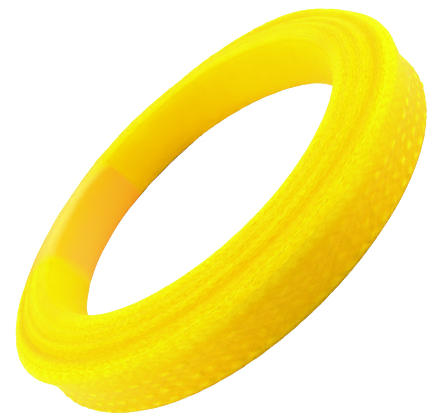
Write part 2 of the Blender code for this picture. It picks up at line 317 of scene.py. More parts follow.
class Skin:
    """The ring's section against the length along it, which starts at the inner top seam and runs outwards.

    It holds each sample's length s, radius r, height z and outward normal (nr, nz). The swell is how far the
    sample stands out of the smoothed section, the relief is the same from -1 to 1, and the hollow is how deep
    the sample lies in the hollow under the lip.
    """

    def __init__(self):
        points = outline_of("joint_sleeve")
        start = node_centre("inner_top_seam")
        first = int(np.hypot(*(points - start).T).argmin())
        points = np.roll(points, -first, axis=0)
        if points[1][0] < points[-1][0]:
            points = np.roll(points[::-1], 1, axis=0)
        curve = smooth_loop(points, OUTLINE_STEPS)
        closed = np.vstack([curve, curve[:1]])
        length = np.r_[0, np.cumsum(np.hypot(*np.diff(closed, axis=0).T))]
        self.length = float(length[-1])
        s = np.arange(OUTLINE_SAMPLES) / OUTLINE_SAMPLES * self.length
        self.s = s
        self.r = np.interp(s, length, closed[:, 0])
        self.z = np.interp(s, length, closed[:, 1])
        dr = np.roll(self.r, -3) - np.roll(self.r, 3)
        dz = np.roll(self.z, -3) - np.roll(self.z, 3)
        size = np.hypot(dr, dz)
        self.nr = -dz / size
        self.nz = dr / size
        self.swell = self.find_swell()
        self.relief = np.clip(self.swell / FULL_RELIEF, -1, 1)
        self.hollow = self.find_hollow(BRIDGE_FROM, BRIDGE_TO)

    def find_swell(self):
        """How far each point stands out of the section smoothed over a few millimetres."""
        gap = (self.s + self.length / 2) % self.length - self.length / 2
        weight = np.exp(-(gap / SMOOTH_REACH) ** 2)
        weight /= weight.sum()
        spread = np.fft.fft(weight)
        smooth_r = np.fft.ifft(np.fft.fft(self.r) * spread).real
        smooth_z = np.fft.ifft(np.fft.fft(self.z) * spread).real
        return (self.r - smooth_r) * self.nr + (self.z - smooth_z) * self.nz

    def find_hollow(self, start, end):
        """How far each point between two places lies inside the line that bridges the hollow there."""
        inside = (self.s > start) & (self.s < end)
        points = np.column_stack([self.r, self.z])[inside]
        hull = [0]
        for k in range(1, len(points)):
            while len(hull) > 1:
                a, b = points[hull[-2]], points[hull[-1]]
                if (b[0] - a[0]) * (points[k][1] - a[1]) - (b[1] - a[1]) * (points[k][0] - a[0]) < 0:
                    break
                hull.pop()
            hull.append(k)
        bridge = np.interp(-points[:, 1], -points[hull, 1], points[hull, 0])
        gap = np.zeros(len(self.s))
        gap[inside] = np.maximum(bridge - points[:, 0], 0) * np.abs(self.nr[inside])
        return gap

    def at(self, values, s):
        """The sampled values read at the lengths s along the section."""
        return np.interp(s, self.s, values, period=self.length)

    def nearest(self, name):
        """The length along the section at which the named node sits."""
        centre = node_centre(name)
        return float(self.s[np.hypot(self.r - centre[0], self.z - centre[1]).argmin()])

    def place(self, s, angle, out):
        """Points at s across and angle round, moved out along the normal. The shape is (rows, columns, 3)."""
        r = self.at(self.r, s)[:, None] + out * self.at(self.nr, s)[:, None]
        z = self.at(self.z, s)[:, None] + out * self.at(self.nz, s)[:, None]
        turn = np.broadcast_to(angle[None, :], r.shape)
        return np.stack([r * np.cos(turn), r * np.sin(turn), z], axis=-1)


SKIN = Skin()
S_OUTER = SKIN.nearest("outer_top_seam")
S_WAIST = SKIN.nearest("waist_seam")
S_LIP = float(SKIN.s[SKIN.r.argmax()])
S_BASE = SKIN.nearest("outer_base_seam")
S_BORE = SKIN.nearest("inner_base_seam")
S_INNER = SKIN.nearest("inner_top_seam") % SKIN.length
if S_INNER > SKIN.length / 2:
    S_INNER -= SKIN.length
S_END = S_INNER + SKIN.length
SEAMS = {"inner_top_seam": S_INNER, "outer_top_seam": S_OUTER, "waist_seam": S_WAIST,
         "outer_base_seam": S_BASE, "inner_base_seam": S_BORE}
SLEEVE_FROM = node_angle("sleeve_seam_a")
SLEEVE_TO = node_angle("sleeve_seam_b")
OUTER_RADIUS = (CAD_BOX[1][0] - CAD_BOX[0][0]) / 2


# ---------------------------------------------------------------- fields on the skin
def waves(seed, count, round_the_ring, across):
    """A smooth random field of about unit size, from cosines with whole numbers of turns both ways."""
    draw = np.random.default_rng(seed)
    turns = draw.integers(round_the_ring[0], round_the_ring[1] + 1, count)
    rows = draw.integers(-across, across + 1, count)
    phase = draw.uniform(0, TURN, count)
    size = draw.uniform(0.5, 1.0, count)
    size /= math.sqrt((size ** 2).sum() / 2)

    def field(s, angle):
        total = np.zeros((len(s), len(angle)))
        for n, m, p, a in zip(turns, rows, phase, size):
            total += a * np.cos((m * TURN * s / SKIN.length)[:, None] + (n * angle)[None, :] + p)
        return total
    return field


def gap_to(s, place):
    """Signed length from a place on the section, the short way round."""
    return (s - place + SKIN.length / 2) % SKIN.length - SKIN.length / 2


def cubic(values, position):
    """Values at the fractional positions along the first axis, which closes on itself."""
    n = len(values)
    base = np.floor(position).astype(int)
    p0, p1, p2, p3 = (values[(base + k) % n] for k in (-1, 0, 1, 2))
    return catmull_rom(p0, p1, p2, p3, (position - base)[:, None])


def braid(s, angle, cells, height, start, wander):
    """A plain diagonal braid of flat strands, as a height from -1 to 1."""
    a = (angle * cells / TURN)[None, :] + wander
    b = ((s - start) / height)[:, None]
    p = a - b
    q = a + b
    p_row = np.round(p)
    q_row = np.round(q)
    first = np.cos(np.pi * (q + p_row)) + strand(p - p_row)
    second = UNDER_SHARE * (1 - np.cos(np.pi * (p + q_row)) + strand(q - q_row)) - 1
    return np.clip(np.maximum(first, second), -1, 1)


def strand(offset):
    """The rounded top of a flat strand: 0 along its middle, falling towards its edges."""
    across = np.clip(np.abs(offset) * 2 / STRAND_SHARE, 0, 1)
    return -STRAND_FALL * across ** STRAND_POWER


def pinch(s, angle):
    """The cloth drawn down along every seam, deeper at each stitch."""
    total = np.zeros((len(s), len(angle)))
    for k, (name, place) in enumerate(SEAMS.items()):
        depth = 1 + PINCH_RIPPLE * np.cos(angle * STITCH_COUNT + k)[None, :]
        total -= PINCH_DEPTH[name] * band(s, place, PINCH_WIDTH)[:, None] * depth
    return total


def dimples(s, angle):
    """Small dents in a row beside the inner top seam, where stitches pass through the rim."""
    turn = angle * STITCH_COUNT
    along = (turn - TURN * np.round(turn / TURN)) / STITCH_COUNT * OUTER_RADIUS
    across = band(s, S_INNER + DIMPLE_OFFSET, DIMPLE_WIDTH)
    size = across[:, None] * np.exp(-(along / DIMPLE_WIDTH) ** 2)[None, :]
    return -DIMPLE_DEPTH * size


def ramp(x, low, high):
    """0 below low, 1 above high and a smooth rise between."""
    t = np.clip((x - low) / (high - low), 0, 1)
    return t * t * (3 - 2 * t)


def band(s, place, width):
    """A soft band across the section, 1 at its place."""
    return np.exp(-(gap_to(s, place) / width) ** 2)


def front(angle, low=0.10, high=0.65):
    """1 on the front of the ring, 0 at its ends and its back."""
    return ramp(-np.sin(angle), low, high)[None, :]


def stuffing(s, angle):
    """Places where the ring is stuffed a little fuller or flatter."""
    total = np.zeros((len(s), len(angle)))
    for place, middle, reach, spread, swell in STUFFING:
        away = (angle - math.radians(middle) + math.pi) % TURN - math.pi
        across = band(s, place, reach)[:, None]
        total += swell * across * np.exp(-(away / math.radians(spread)) ** 2)[None, :]
    return total


def bridge(s, angle):
    """The cloth stretched over the hollow under the lip, drawn in at the lip on the front, and stuffed."""
    ends = BRIDGE_RIGHT + (BRIDGE_LEFT - BRIDGE_RIGHT) * ramp(-np.cos(angle), -0.5, 0.5)[None, :]
    share = ends + (BRIDGE_FRONT - ends) * front(angle)
    lip = band(s, S_LIP, LIP_REACH)[:, None] * front(angle)
    shoulder = band(s, S_LIP + SHOULDER_BELOW, SHOULDER_REACH)[:, None] * front(angle)
    stretched = SKIN.at(SKIN.hollow, s)[:, None] * share
    return stretched - LIP_EASE * lip + SHOULDER * shoulder + stuffing(s, angle)


def rib_ease(s, angle):
    """The ribs stand less proud on the front, where the cloth is pulled tighter."""
    share = RIB_EASE_ENDS + (RIB_EASE_FRONT - RIB_EASE_ENDS) * front(angle)
    inside = ramp(s, S_INNER + 5 * MM, S_INNER + 9 * MM) * (1 - ramp(s, S_OUTER - 2 * MM, S_OUTER + 3 * MM))
    return -(SKIN.at(SKIN.swell, s) * inside)[:, None] * share


def stitches(s, angle):
    """Raised stitches in rows round the outer wall, from 0 to 1."""
    turn = angle * BRAID_CELLS
    along = (turn - TURN * np.round(turn / TURN)) / BRAID_CELLS * OUTER_RADIUS
    shape = np.exp(-(along / STITCH_LONG) ** 4)[None, :]
    rows = sum(band(s, place, STITCH_WIDE) for place in STITCH_ROWS)
    return rows[:, None] * shape


# ---------------------------------------------------------------- faces
def loop_faces(rows, columns, closed_round):
    """Quads of a closed loop of rows carried along columns, with a cap at each end unless it closes."""
    i = np.arange(rows)[:, None]
    j = np.arange(columns if closed_round else columns - 1)[None, :]
    a = i * columns + j
    b = i * columns + (j + 1) % columns
    c = (i + 1) % rows * columns + (j + 1) % columns
    d = (i + 1) % rows * columns + j
    faces = [tuple(f) for f in np.stack([a, b, c, d], axis=-1).reshape(-1, 4).tolist()]
    if not closed_round:
        faces.append(tuple((np.arange(rows) * columns).tolist()))
        faces.append(tuple((np.arange(rows) * columns + columns - 1).tolist()))
    return faces


def face_outward(mesh):
    """Turns every face of a closed mesh outwards."""
    bm = bmesh.new()
    bm.from_mesh(mesh)
    bmesh.ops.recalc_face_normals(bm, faces=bm.faces)
    bm.to_mesh(mesh)
    bm.free()


# ---------------------------------------------------------------- cloth simulation
def settle_cover():
    """Inflates the whole skin as cloth held at its seams and at the sleeve's ends.

    Returns how far each point moved out, less the mean of its row.
    """
    s = np.arange(SIM_ROWS) / SIM_ROWS * SKIN.length
    angle = np.arange(SIM_COLUMNS) / SIM_COLUMNS * TURN
    start = waves(3, 40, (5, 60), 7)(s, angle) * SIM_WOBBLE * MM - SIM_INSET
    points = SKIN.place(s, angle, start).reshape(-1, 3)
    mesh = bpy.data.meshes.new("settling_skin")
    mesh.from_pydata([tuple(p) for p in points], [], loop_faces(SIM_ROWS, SIM_COLUMNS, True))
    face_outward(mesh)
    skin = bpy.data.objects.new("settling_skin", mesh)
    bpy.context.scene.collection.objects.link(skin)
    held = skin.vertex_groups.new(name="held")
    row_step = SKIN.length / SIM_ROWS
    for i, x in enumerate(s):
        if min(abs(gap_to(x, place)) for place in SEAMS.values()) < row_step / 2:
            held.add(list(range(i * SIM_COLUMNS, (i + 1) * SIM_COLUMNS)), 1.0, "REPLACE")
    for side in (SLEEVE_FROM, SLEEVE_TO):
        j = round(side / TURN * SIM_COLUMNS) % SIM_COLUMNS
        held.add([i * SIM_COLUMNS + j for i in range(SIM_ROWS)], 1.0, "REPLACE")
    cloth = skin.modifiers.new("cloth", "CLOTH")
    for key, value in SIM_CLOTH.items():
        setattr(cloth.settings, key, value)
    cloth.settings.use_pressure = True
    cloth.settings.uniform_pressure_force = SIM_PRESSURE
    cloth.settings.vertex_group_mass = "held"
    cloth.settings.shrink_min = -SIM_EASE
    cloth.settings.shrink_max = -SIM_EASE
    cloth.settings.effector_weights.gravity = 0
    scene = bpy.context.scene
    for step in range(1, SIM_FRAMES + 1):
        scene.frame_set(step)
    shape = skin.evaluated_get(bpy.context.evaluated_depsgraph_get()).to_mesh()
    end = np.zeros(len(shape.vertices) * 3)
    shape.vertices.foreach_get("co", end)
    scene.frame_set(1)
    bpy.data.objects.remove(skin)
    moved = (end.reshape(-1, 3) - points).reshape(SIM_ROWS, SIM_COLUMNS, 3)
    radial = moved[..., 0] * np.cos(angle) + moved[..., 1] * np.sin(angle)
    out = radial * SKIN.at(SKIN.nr, s)[:, None] + moved[..., 2] * SKIN.at(SKIN.nz, s)[:, None]
    out = np.clip(out, -SIM_CAP, SIM_CAP)
    spread = out.std(axis=1).max()
    print(f"cloth moved {out.min() / MM:.2f} to {out.max() / MM:.2f} mm, spread {spread / MM:.2f} mm")
    return out - out.mean(axis=1, keepdims=True)


UNEVEN = settle_cover()


def uneven(s, angle):
    """The simulated unevenness at s across and angle round, fading out where the cover meets the sleeve."""
    rows = cubic(UNEVEN, s / SKIN.length * SIM_ROWS)
    apart = np.minimum(angle - SLEEVE_TO, SLEEVE_FROM + TURN - angle) * OUTER_RADIUS
    share = UNEVEN_GAIN * ramp(apart, 0.0, UNEVEN_FADE)
    return cubic(rows.T, angle / TURN * SIM_COLUMNS).T * share[None, :]


# ---------------------------------------------------------------- meshes
def make_object(name, points, faces, material, attributes):
    """A smooth-shaded object with the named values stored on its points, for the materials to read."""
    mesh = bpy.data.meshes.new(name)
    mesh.from_pydata(points, [], faces)
    for key, values in attributes.items():
        kind = "FLOAT" if values.ndim == 1 else "FLOAT_VECTOR"
        attribute = mesh.attributes.new(key, kind, "POINT")
        field = "value" if kind == "FLOAT" else "vector"
        attribute.data.foreach_set(field, values.astype(np.float32).ravel())
    face_outward(mesh)
    mesh.shade_smooth()
    mesh.set_sharp_from_angle(angle=SHARP_ANGLE)
    mesh.materials.append(material)
    obj = bpy.data.objects.new(name, mesh)
    bpy.context.scene.collection.objects.link(obj)
    return obj


def headroom(s):
    """How far a point can move out along the normal before it reaches the plane the ring rests on."""
    down = np.maximum(-SKIN.at(SKIN.nz, s), LEAST_DOWN)
    return (SKIN.at(SKIN.z, s) - CAD_BOX[0][2]) / down


def grounded(s, out):
    """A displacement kept above the foam, below the proudest swell and off the plane the ring rests on."""
    return np.minimum(np.clip(out, -DEEPEST, PROUDEST), headroom(s)[:, None])


def cloth_panel(name, start, end, height, light_and_tone, material, slot):
    """A panel of real thickness between two places on the section, from the sleeve round to the sleeve."""
    spacing, around = PANEL_MESH[name]
    first, last = start + EDGE_GAP, end - EDGE_GAP
    s = np.linspace(first, last, max(FEWEST_ROWS, round((end - start) / spacing)))
    s_in = np.linspace(last, first, max(FEWEST_ROWS, round((end - start) / INNER_SPACING)))
    ends = PANEL_END_GAP / OUTER_RADIUS
    angle = np.linspace(SLEEVE_TO + ends, SLEEVE_FROM + TURN - ends, around)
    outside = SKIN.place(s, angle, grounded(s, height(s, angle)))
    inside = SKIN.place(s_in, angle, np.full((len(s_in), around), -CLOTH))
    rows = len(s) + len(s_in)
    points = np.concatenate([outside, inside]).reshape(-1, 3)
    # Each point's stored tone carries painted light and shade along with the cloth's own tones.
    light = np.concatenate([light_and_tone(s, angle), np.zeros((len(s_in), around))]).ravel()
    fine = np.tile(front(angle, 0.0, 0.6)[0] * 0.8 + 0.2, rows)
    obj = make_object(name + "_cloth", points.tolist(), loop_faces(rows, around, False), material,
                      {"light_and_tone": light, "cloth": flat_place(np.r_[s, s_in], angle), "fine": fine})
    finish_piece(obj, slot, name)


def flat_place(s, angle):
    """Where each point lies on the unrolled cloth, in millimetres round and across."""
    grid = np.zeros((len(s), len(angle), 3))
    grid[..., 0] = (angle * OUTER_RADIUS / MM)[None, :]
    grid[..., 1] = (s / MM)[:, None]
    return grid.reshape(-1, 3)


def finish_piece(obj, slot, *nodes):
    """Ties a visual piece to the ring's one body and hides the CAD nodes it stands for. The slot is not used.
    """
    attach(obj, "root")
    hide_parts(*nodes)


# ---------------------------------------------------------------- materials
def node(mat, kind, inputs=None, **settings):
    """A shader node. Each input is a value, or the socket to link to it."""
    n = mat.node_tree.nodes.new(kind)
    for key, value in settings.items():
        setattr(n, key, value)
    for key, value in (inputs or {}).items():
        if isinstance(value, bpy.types.NodeSocket):
            mat.node_tree.links.new(value, n.inputs[key])
        else:
            n.inputs[key].default_value = value
    return n


def new_material(name):
    """A material with an empty node tree."""
    mat = bpy.data.materials.new(name)
    mat.use_nodes = True
    mat.node_tree.nodes.clear()
    return mat


def maths(mat, operation, a, b=0.0, clamp=False):
    """The output of a maths node on two values, held between 0 and 1 if asked."""
    n = node(mat, "ShaderNodeMath", {0: a, 1: b}, operation=operation)
    n.use_clamp = clamp
    return n.outputs[0]


def blend_colour(mat, share, a, b):
    """Colour a where the share is 0 and colour b where it is 1."""
    n = node(mat, "ShaderNodeMix", {0: share, 6: a, 7: b}, data_type="RGBA")
    return n.outputs[2]


def lines(mat, place, direction, pitch):
    """Parallel lines of the given pitch in millimetres on the unrolled cloth, from -1 to 1."""
    along = node(mat, "ShaderNodeVectorMath", {0: place, 1: direction}, operation="DOT_PRODUCT")
    return maths(mat, "SINE", maths(mat, "MULTIPLY", along.outputs["Value"], TURN / pitch))


def stored(mat, name, output="Fac"):
    """The values stored on the mesh's points under a name."""
    return node(mat, "ShaderNodeAttribute", attribute_name=name).outputs[output]


def noise(mat, where, scale, detail):
    """Noise of the given scale, from 0 to 1."""
    return node(mat, "ShaderNodeTexNoise", {"Vector": where, "Scale": scale, "Detail": detail}).outputs["Fac"]


def relief(mat, height, strength, distance):
    """Normals bumped by a height."""
    bump = node(mat, "ShaderNodeBump", {"Height": height, "Strength": strength, "Distance": distance})
    return bump.outputs[0]


def surface(mat, colour, roughness, bump):
    """Ends a material with a surface of the given colour, roughness and normals, with faint yellow glints."""
    shader = node(mat, "ShaderNodeBsdfPrincipled", {
        "Base Color": colour, "Roughness": roughness, "Normal": bump,
        "Specular IOR Level": SPECULAR, "Specular Tint": SPECULAR_TINT})
    node(mat, "ShaderNodeOutputMaterial", {"Surface": shader.outputs[0]})


def fabric(name, bright, deep, pale, yarn, slope, bump_size, roughness, specks=0.0, undyed=None):
    """Dyed yarn with painted light: painted shade deepens it in the valleys and painted highlights make it
    paler on the crests, as the stored point tone blends from the deep colour through the bright to the pale,
    with cloudy patches of the cloth's own tone, yarn lines both ways and a fine fuzz.

    The yarn is the pitch of its lines in millimetres, and the slope is how steeply they cross the way round.
    Specks are short yarns that lie across the cloth at a slant, each paler or deeper than the next. With a
    colour for undyed cloth, the point attribute "dye" blends from it to the rest.
    """
    mat = new_material(name)
    where = node(mat, "ShaderNodeTexCoord").outputs["Object"]
    place = stored(mat, "cloth", "Vector")
    # The stored point tone: paler for painted highlights, deeper for painted shade, with some of the cloth's
    # own tone.
    light_and_tone = stored(mat, "light_and_tone")
    patches = noise(mat, where, 55.0, 3.0)
    fuzz = noise(mat, where, 1400.0, 2.0)
    slub = noise(mat, where, 330.0, 2.0)
    one = lines(mat, place, (math.sin(slope), -math.cos(slope), 0), yarn)
    two = lines(mat, place, (math.sin(slope), math.cos(slope), 0), yarn)
    weave = maths(mat, "MAXIMUM", one, two)
    slanted = {"Vector": place, "Rotation": (0, 0, SPECK_SLANT), "Scale": SPECK_SCALE}
    short = noise(mat, node(mat, "ShaderNodeMapping", slanted).outputs[0], 1.0, 2.0)
    share = maths(mat, "MULTIPLY", stored(mat, "fine"), specks)
    marked = maths(mat, "MULTIPLY", maths(mat, "SUBTRACT", short, 0.5), share)
    cloudy = maths(mat, "MULTIPLY", maths(mat, "SUBTRACT", patches, 0.5), 0.5)
    # The stored painted light and shade, plus the cloth's own slanting yarns and cloudy patches of tone,
    # summed.
    wear_and_painted_light = maths(mat, "ADD", maths(mat, "ADD", light_and_tone, marked), cloudy)
    mixed = blend_colour(mat, maths(mat, "ADD", wear_and_painted_light, 0.0, True), deep, bright)
    # High sums blend into the pale colour, a painted highlight, speckled by slub noise.
    wear_and_highlight_share = maths(mat, "SUBTRACT", wear_and_painted_light, 0.85, True)
    highlight_blend = maths(mat, "MULTIPLY", wear_and_highlight_share, maths(mat, "ADD", slub, 0.5))
    colour = blend_colour(mat, highlight_blend, mixed, pale)
    if undyed:
        colour = blend_colour(mat, stored(mat, "dye"), undyed, colour)
    raised = maths(mat, "ADD", maths(mat, "MULTIPLY", weave, 0.6), maths(mat, "MULTIPLY", fuzz, 0.5))
    height = maths(mat, "ADD", raised, maths(mat, "MULTIPLY", marked, 1.2))
    rough = maths(mat, "ADD", maths(mat, "MULTIPLY", fuzz, 0.2), roughness - 0.1)
    surface(mat, colour, rough, relief(mat, height, 0.6, bump_size))
    return mat


def plain(name, colour, second, scale, roughness, bump_size):
    """Foam, cord or moulded plastic: two close tones mixed by noise, with the same noise as relief."""
    mat = new_material(name)
    where = node(mat, "ShaderNodeTexCoord").outputs["Object"]
    grain = noise(mat, where, scale, 4.0)
    surface(mat, blend_colour(mat, grain, colour, second), roughness, relief(mat, grain, 0.5, bump_size))
    return mat


# The first colour of each fabric is its lit colour, the second a painted shade of it, and the third a paler
# painted highlight, which on the satin is a whitish painted reflection.
RIBBED = fabric("ribbed_knit", (0.85, 0.56, 0.0, 1), (0.83, 0.42, 0.0, 1), (0.90, 0.64, 0.002, 1),
                yarn=1.3, slope=math.radians(62), bump_size=0.10 * MM, roughness=0.55, specks=2.0)
STITCHED = fabric("stitched_knit", (0.85, 0.56, 0.0, 1), (0.83, 0.45, 0.0, 1), (0.92, 0.68, 0.003, 1),
                  yarn=1.25, slope=math.radians(34), bump_size=0.10 * MM, roughness=0.5, specks=1.3)
LINING = fabric("lining", (0.85, 0.53, 0.0, 1), (0.84, 0.49, 0.0, 1), (0.87, 0.56, 0.0, 1),
                yarn=0.8, slope=math.radians(45), bump_size=0.04 * MM, roughness=0.6)
SATIN = fabric("sleeve_satin", (1.0, 0.42, 0.001, 1), (1.0, 0.39, 0.028, 1), (1.0, 0.57, 0.10, 1),
               yarn=0.5, slope=math.radians(88), bump_size=0.02 * MM, roughness=0.4,
               undyed=(0.85, 0.52, 0.0, 1))
THREAD = fabric("thread", (0.95, 0.60, 0.002, 1), (0.90, 0.48, 0.001, 1), (1.0, 0.68, 0.01, 1),
                yarn=0.4, slope=math.radians(40), bump_size=0.05 * MM, roughness=0.5)
# A paler copy of the thread, a painted highlight along the outer top seam.
HIGHLIGHT_THREAD = fabric("pale_thread", (0.95, 0.76, 0.01, 1), (0.92, 0.66, 0.005, 1), (1.0, 0.84, 0.03, 1),
                     yarn=0.4, slope=math.radians(40), bump_size=0.05 * MM, roughness=0.5)
FOAM = plain("foam", (0.88, 0.82, 0.62, 1), (0.80, 0.74, 0.56, 1), 900.0, 0.9, 0.3 * MM)
CORD = plain("cord", (0.86, 0.85, 0.80, 1), (0.77, 0.77, 0.72, 1), 1500.0, 0.8, 0.2 * MM)
HOOP = plain("hoop_plastic", (0.17, 0.17, 0.18, 1), (0.14, 0.14, 0.15, 1), 300.0, 0.35, 0.03 * MM)
JOINER = plain("joiner_plastic", (0.035, 0.035, 0.035, 1), (0.025, 0.025, 0.025, 1), 300.0, 0.4, 0.03 * MM)
PIN = plain("pin_plastic", (0.78, 0.78, 0.78, 1), (0.71, 0.71, 0.71, 1), 500.0, 0.4, 0.03 * MM)


# ---------------------------------------------------------------- panels
# Random fields: the braid's wandering, worn patches, mottling, and the yarns' drift, breaks and specks.
WANDER = waves(11, 24, (2, 24), 5)
PATCH = waves(17, 60, (10, 90), 16)
COARSE = waves(23, 30, (3, 30), 4)
DRIFT = waves(29, 30, (4, 40), 6)
BREAKS = waves(31, 90, (20, 130), 50)
SPECKS = waves(37, 160, (70, 210), 75)


def streaks(s, angle):
    """Ridges of yarn along the ring, whose height comes and goes, from about -1 to 1."""
    phase = (TURN * s / STREAK_PITCH)[:, None] + 1.5 * DRIFT(s, angle)
    return np.cos(phase) * np.clip(0.55 + 0.45 * BREAKS(s, angle), 0, 1.4)


def grains(s, angle):
    """Short slanting specks of yarn, from about -1 to 1."""
    return np.clip(0.5 * SPECKS(s, angle), -1.2, 1.2)


def wall_braid(s, angle):
    """The wall's braid, with strands that wander a little from their rows."""
    return braid(s, angle, BRAID_CELLS, BRAID_HEIGHT, S_WAIST, BRAID_WANDER * WANDER(s, angle))


def wall_stitches(s, angle):
    """The rows of stitches, some standing out and some sunk, least on the front."""
    wear_and_painted_light = np.clip(0.85 + 0.35 * PATCH(s, angle), 0.1, 1.5)
    return stitches(s, angle) * wear_and_painted_light * (1 - 0.7 * front(angle, 0.75, 1.0))


def wall_height(s, angle):
    """Braided and stitched, and plainer towards the lip."""
    away = ramp(s, S_LIP, S_LIP + 7 * MM)[:, None]
    strength = (1 + 0.22 * PATCH(s, angle)) * (0.10 + 0.90 * away)
    raised = BRAID_RELIEF * strength * wall_braid(s, angle) + STITCH_RELIEF * wall_stitches(s, angle) * away
    grain = GRAIN_RELIEF * grains(s, angle) * (0.4 - 0.2 * away)
    return uneven(s, angle) + bridge(s, angle) + raised + grain + pinch(s, angle)


def wall_light_and_tone(s, angle):
    """Painted light paler near the outer seam and fading down the wall, a painted highlight under the lip on
    the front, paler along the base, painted highlights on the braid's crests and palest on the stitches, with
    painted shade on the lower wall at the right end and the cloth's own grains.
    """
    tone = WALL_LIGHT_AND_TONE
    # Painted light: paler near the outer seam, fading down the wall.
    wear_and_painted_light = tone["upper"] * (1 - ramp(s, S_OUTER + 1 * MM, S_OUTER + 13 * MM))[:, None]
    # Painted highlight under the lip on the front.
    wear_and_painted_light = wear_and_painted_light + tone["lip"] * band(s, S_LIP + 1.2 * MM, 2.6 * MM)[:, None] * front(angle, 0.75, 0.98)
    wear_and_painted_light = wear_and_painted_light + tone["foot"] * band(s, S_BASE - 0.6 * MM, 1.5 * MM)[:, None]
    grain = tone["grains"] * grains(s, angle) * (1 - 0.5 * ramp(s, S_LIP, S_LIP + 8 * MM))[:, None]
    # Painted shade on the lower wall at the right end, where the stitches get brighter painted highlights.
    right = ramp(np.cos(angle), 0.45, 0.95)[None, :] * ramp(s, S_LIP + 4 * MM, S_LIP + 12 * MM)[:, None]
    stitch_highlights = (tone["stitches"] + WALL_RIGHT_LIGHT_AND_SHADE["stitches"] * right) * wall_stitches(s, angle)
    base = tone["base"] + WALL_RIGHT_LIGHT_AND_SHADE["base"] * right
    # The braid's crests and the stitches get painted highlights.
    return base + wear_and_painted_light + tone["braid"] * wall_braid(s, angle) + stitch_highlights + grain


def top_height(s, angle):
    """Ridged with yarn away from the inner rim, with ribs that stand out less on the front."""
    strength = 1 + 0.35 * PATCH(s, angle)
    fine = STREAK_RELIEF * strength * streaks(s, angle) + 0.6 * GRAIN_RELIEF * grains(s, angle)
    fade = ramp(gap_to(s, S_INNER), 2 * MM, 6 * MM)[:, None]
    eased = rib_ease(s, angle) + bridge(s, angle)
    return uneven(s, angle) + eased + fine * fade + pinch(s, angle) + dimples(s, angle)


def fineness(angle):
    """How strongly the fine yarns show: fully on the front, little at the left end."""
    return 0.25 + 0.75 * ramp(-np.sin(angle) + 0.5 * np.cos(angle), 0.0, 0.5)[None, :]


def groove_painted_shade(s, angle):
    """Painted shade in the outer groove, which lies further out on the right and fades at the back."""
    place = (S_GROOVE + GROOVE_DRIFT * np.cos(angle))[None, :]
    near = s[:, None] - place
    line = np.exp(-(near / GROOVE_WIDTH) ** 2)
    beyond = ramp(near, -GROOVE_WIDTH, 0.5 * MM)
    shelf = beyond * (1 - ramp(s, S_OUTER - 3.0 * MM, S_OUTER - 1.2 * MM))[:, None]
    far = ramp(np.sin(angle) + 0.3 * np.cos(angle), -0.20, 0.40)[None, :]
    return (GROOVE_LINE * line + GROOVE_SHELF * shelf) * (1 - GROOVE_FADE * far)


def top_light_and_tone(s, angle):
    """Painted highlights on the inner rim on the front and by the outer seam, painted shade between them and
    deepest in the outer groove, painted light towards the back and on the section's crests, with the cloth's
    own yarn streaks and grains.
    """
    tone = TOP_LIGHT_AND_TONE
    # Painted highlight along the inner rim on the front.
    rim = tone["rim"] * (1 - ramp(s, S_INNER + 5 * MM, S_INNER + 10 * MM))[:, None] * front(angle)
    left = ramp(-np.cos(angle), 0.70, 0.97)[None, :]
    # Painted highlight by the outer seam, weaker at the left end.
    edge = tone["edge"] * band(s, S_OUTER - 0.4 * MM, 1.4 * MM)[:, None] * (1 - 0.75 * left)
    # Painted light: the top is paler towards the back of the ring.
    back = tone["back"] * ramp(np.sin(angle), -0.05, 0.30)[None, :]
    # Painted light and shade: paler where the section stands out, deeper where it dips.
    rise = tone["relief"] * SKIN.at(SKIN.relief, s)[:, None]
    yarns = tone["streaks"] * streaks(s, angle) * fineness(angle)
    yarns = yarns + tone["grains"] * grains(s, angle) * front(angle, 0.0, 0.6)
    # Painted highlights in arcs at the left end.
    arc_highlights = sum(size * band(s, place, LEFT_ARC_HIGHLIGHT_WIDTH) for place, size in LEFT_ARC_HIGHLIGHTS)[:, None] * left
    # Painted shade in the outer groove, less at the left end.
    groove = groove_painted_shade(s, angle) * (1 - 0.7 * left)
    return tone["base"] + rim + edge + back - groove + rise + arc_highlights + yarns


def base_height(s, angle):
    """Braided like the wall, but smooth where it turns up into the hole."""
    share = 0.5 * (1 - ramp(s, S_BORE - 12 * MM, S_BORE - 4 * MM))[:, None]
    braided = BRAID_RELIEF * share * wall_braid(s, angle)
    return uneven(s, angle) + braided + pinch(s, angle) + stuffing(s, angle)


def lining_height(s, angle):
    """Plain cloth, held closer to its shape than the rest."""
    return 0.5 * uneven(s, angle) + 0.04 * MM * PATCH(s, angle) + pinch(s, angle) + stuffing(s, angle)


def lining_shade_and_tone(s, angle):
    """Painted shade half way up the hole's wall, over the lining's own mottled tone."""
    middle = LINING_SHADE_AND_TONE["middle"] * band(s, S_BORE + 12 * MM, 8 * MM)[:, None]
    return LINING_SHADE_AND_TONE["base"] + LINING_SHADE_AND_TONE["mottle"] * COARSE(s, angle) + middle


def build_panels():
    """The five panels of the cover, each between two seams."""
    cloth_panel("top_cover", S_INNER, S_OUTER, top_height, top_light_and_tone, RIBBED, "ribbed_knit")
    cloth_panel("lip_binding", S_OUTER, S_WAIST, wall_height, wall_light_and_tone, STITCHED, "ribbed_knit")
    cloth_panel("outer_band", S_WAIST, S_BASE, wall_height, wall_light_and_tone, STITCHED, "stitched_knit")
    cloth_panel("base_cover", S_BASE, S_BORE, base_height, wall_light_and_tone, STITCHED, "stitched_knit")
    cloth_panel("inner_lining", S_BORE, S_END, lining_height, lining_shade_and_tone, LINING, "lining")


